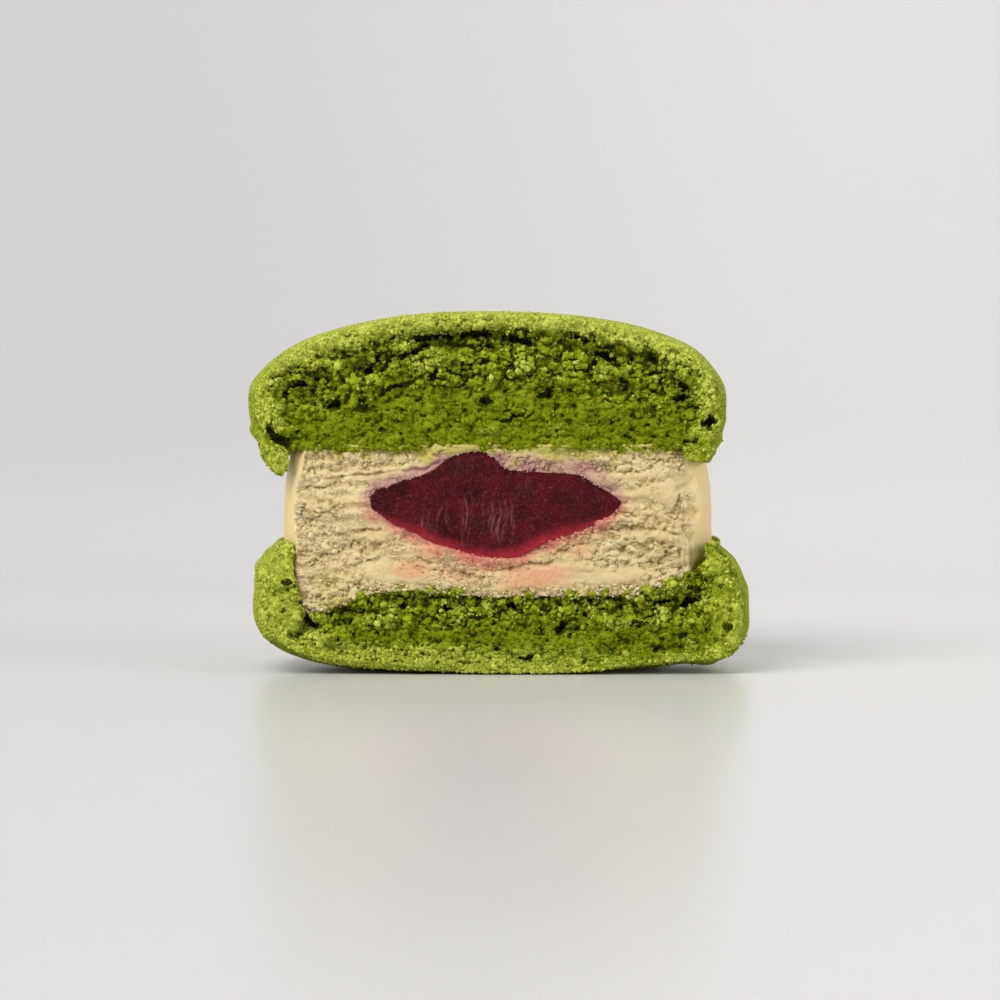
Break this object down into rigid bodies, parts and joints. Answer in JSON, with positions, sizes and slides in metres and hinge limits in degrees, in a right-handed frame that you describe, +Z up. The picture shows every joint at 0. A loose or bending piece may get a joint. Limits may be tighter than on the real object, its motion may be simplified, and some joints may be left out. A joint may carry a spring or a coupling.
{
  "type": "filled macaron half",
  "caption": "Thick-filled green macaron cut across: domed biscuit lid and base with airy crumb and ruffled feet, buttercream layer and fruit jelly heart showing at the cut.",
  "frame": {"origin": "on the surface the macaron rests on, under the middle of its bounding box", "axes": "+Z up; the cut face looks towards -Y; +X runs to the right along the cut face"},
  "size_m": [0.0509, 0.0334, 0.0364],
  "materials": {
    "biscuit": "dry matte almond biscuit coloured yellow-green, smooth skin outside and granular open crumb at the cut",
    "buttercream": "soft satin cream, torn and granular at the cut",
    "fruit_jelly": "moist dark red fruit jelly, slightly see-through at its edge"
  },
  "bodies": {
    "root": {"lid": "biscuit", "base": "biscuit", "cream": "buttercream", "jelly": "fruit_jelly"}
  },
  "joints": []
}
